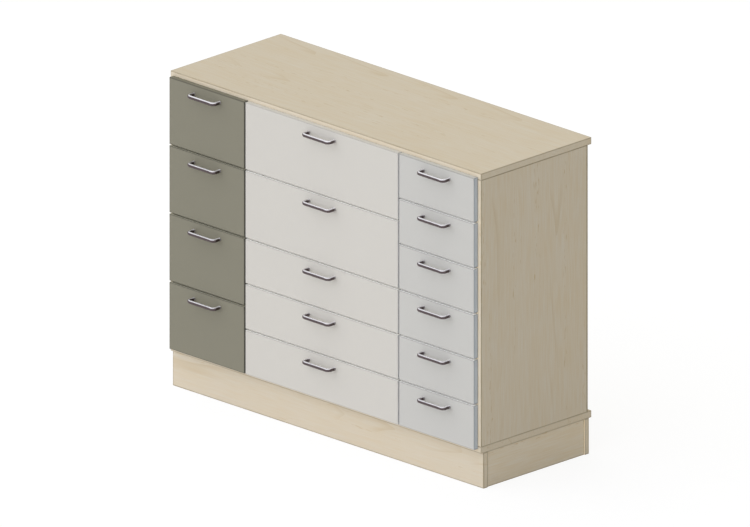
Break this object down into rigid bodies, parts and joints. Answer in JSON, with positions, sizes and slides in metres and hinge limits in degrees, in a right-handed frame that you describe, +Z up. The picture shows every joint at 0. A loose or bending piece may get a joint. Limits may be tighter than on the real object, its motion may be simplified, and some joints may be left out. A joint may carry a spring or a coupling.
{
  "type": "chest of drawers",
  "caption": "Chest of drawers on a plinth: pale maple carcass with columns of olive, white and grey drawers on roller runners, each with a steel bow handle.",
  "frame": {"origin": "on the floor, below the middle of the whole chest's width and of its depth with the handles", "axes": "+X to the right for someone facing the drawers, +Y to the rear, +Z up; drawers open along -Y"},
  "size_m": [1.165, 0.4584, 0.887],
  "materials": {
    "maple_laminate": "matt laminate with a fine pale maple grain",
    "olive_laminate": "matt olive grey laminate on board",
    "white_laminate": "matt warm white laminate on board",
    "grey_laminate": "matt cool grey laminate on board",
    "drawer_box_birch": "clear lacquered birch plywood",
    "handle_steel": "polished round steel rod",
    "runner_steel": "pale powder coated sheet steel",
    "dowel_beech": "plain beech",
    "screw_steel": "zinc plated steel"
  },
  "bodies": {
    "carcass": {"top_panel": "maple_laminate", "bottom_panel": "maple_laminate", "left_side_panel": "maple_laminate", "left_divider": "maple_laminate", "right_divider": "maple_laminate", "right_side_panel": "maple_laminate", "back_panel": "maple_laminate", "plinth_front_board": "maple_laminate", "plinth_rear_board": "maple_laminate", "plinth_cross_boards": "maple_laminate", "dowels": "dowel_beech", "rail_screws": "screw_steel", "left_column_rails": "runner_steel", "middle_column_rails": "runner_steel", "right_column_rails": "runner_steel"},
    "left_drawer_1": {"left_drawer_1_front": "olive_laminate", "left_drawer_1_box": "drawer_box_birch", "left_drawer_1_handle": "handle_steel"},
    "left_drawer_2": {"left_drawer_2_front": "olive_laminate", "left_drawer_2_box": "drawer_box_birch", "left_drawer_2_handle": "handle_steel"},
    "left_drawer_3": {"left_drawer_3_front": "olive_laminate", "left_drawer_3_box": "drawer_box_birch", "left_drawer_3_handle": "handle_steel"},
    "left_drawer_4": {"left_drawer_4_front": "olive_laminate", "left_drawer_4_box": "drawer_box_birch", "left_drawer_4_handle": "handle_steel"},
    "middle_drawer_1": {"middle_drawer_1_front": "white_laminate", "middle_drawer_1_box": "drawer_box_birch", "middle_drawer_1_handle": "handle_steel"},
    "middle_drawer_2": {"middle_drawer_2_front": "white_laminate", "middle_drawer_2_box": "drawer_box_birch", "middle_drawer_2_handle": "handle_steel"},
    "middle_drawer_3": {"middle_drawer_3_front": "white_laminate", "middle_drawer_3_box": "drawer_box_birch", "middle_drawer_3_handle": "handle_steel"},
    "middle_drawer_4": {"middle_drawer_4_front": "white_laminate", "middle_drawer_4_box": "drawer_box_birch", "middle_drawer_4_handle": "handle_steel"},
    "middle_drawer_5": {"middle_drawer_5_front": "white_laminate", "middle_drawer_5_box": "drawer_box_birch", "middle_drawer_5_handle": "handle_steel"},
    "right_drawer_1": {"right_drawer_1_front": "grey_laminate", "right_drawer_1_box": "drawer_box_birch", "right_drawer_1_handle": "handle_steel"},
    "right_drawer_2": {"right_drawer_2_front": "grey_laminate", "right_drawer_2_box": "drawer_box_birch", "right_drawer_2_handle": "handle_steel"},
    "right_drawer_3": {"right_drawer_3_front": "grey_laminate", "right_drawer_3_box": "drawer_box_birch", "right_drawer_3_handle": "handle_steel"},
    "right_drawer_4": {"right_drawer_4_front": "grey_laminate", "right_drawer_4_box": "drawer_box_birch", "right_drawer_4_handle": "handle_steel"},
    "right_drawer_5": {"right_drawer_5_front": "grey_laminate", "right_drawer_5_box": "drawer_box_birch", "right_drawer_5_handle": "handle_steel"},
    "right_drawer_6": {"right_drawer_6_front": "grey_laminate", "right_drawer_6_box": "drawer_box_birch", "right_drawer_6_handle": "handle_steel"}
  },
  "joints": [
    {"name": "left_drawer_1_slide", "type": "slide", "parent": "carcass", "child": "left_drawer_1", "axis": [0, -1, 0], "range_m": [0, 0.255]},
    {"name": "left_drawer_2_slide", "type": "slide", "parent": "carcass", "child": "left_drawer_2", "axis": [0, -1, 0], "range_m": [0, 0.255]},
    {"name": "left_drawer_3_slide", "type": "slide", "parent": "carcass", "child": "left_drawer_3", "axis": [0, -1, 0], "range_m": [0, 0.255]},
    {"name": "left_drawer_4_slide", "type": "slide", "parent": "carcass", "child": "left_drawer_4", "axis": [0, -1, 0], "range_m": [0, 0.255]},
    {"name": "middle_drawer_1_slide", "type": "slide", "parent": "carcass", "child": "middle_drawer_1", "axis": [0, -1, 0], "range_m": [0, 0.255]},
    {"name": "middle_drawer_2_slide", "type": "slide", "parent": "carcass", "child": "middle_drawer_2", "axis": [0, -1, 0], "range_m": [0, 0.255]},
    {"name": "middle_drawer_3_slide", "type": "slide", "parent": "carcass", "child": "middle_drawer_3", "axis": [0, -1, 0], "range_m": [0, 0.255]},
    {"name": "middle_drawer_4_slide", "type": "slide", "parent": "carcass", "child": "middle_drawer_4", "axis": [0, -1, 0], "range_m": [0, 0.255]},
    {"name": "middle_drawer_5_slide", "type": "slide", "parent": "carcass", "child": "middle_drawer_5", "axis": [0, -1, 0], "range_m": [0, 0.255]},
    {"name": "right_drawer_1_slide", "type": "slide", "parent": "carcass", "child": "right_drawer_1", "axis": [0, -1, 0], "range_m": [0, 0.255]},
    {"name": "right_drawer_2_slide", "type": "slide", "parent": "carcass", "child": "right_drawer_2", "axis": [0, -1, 0], "range_m": [0, 0.255]},
    {"name": "right_drawer_3_slide", "type": "slide", "parent": "carcass", "child": "right_drawer_3", "axis": [0, -1, 0], "range_m": [0, 0.255]},
    {"name": "right_drawer_4_slide", "type": "slide", "parent": "carcass", "child": "right_drawer_4", "axis": [0, -1, 0], "range_m": [0, 0.255]},
    {"name": "right_drawer_5_slide", "type": "slide", "parent": "carcass", "child": "right_drawer_5", "axis": [0, -1, 0], "range_m": [0, 0.255]},
    {"name": "right_drawer_6_slide", "type": "slide", "parent": "carcass", "child": "right_drawer_6", "axis": [0, -1, 0], "range_m": [0, 0.255]}
  ]
}
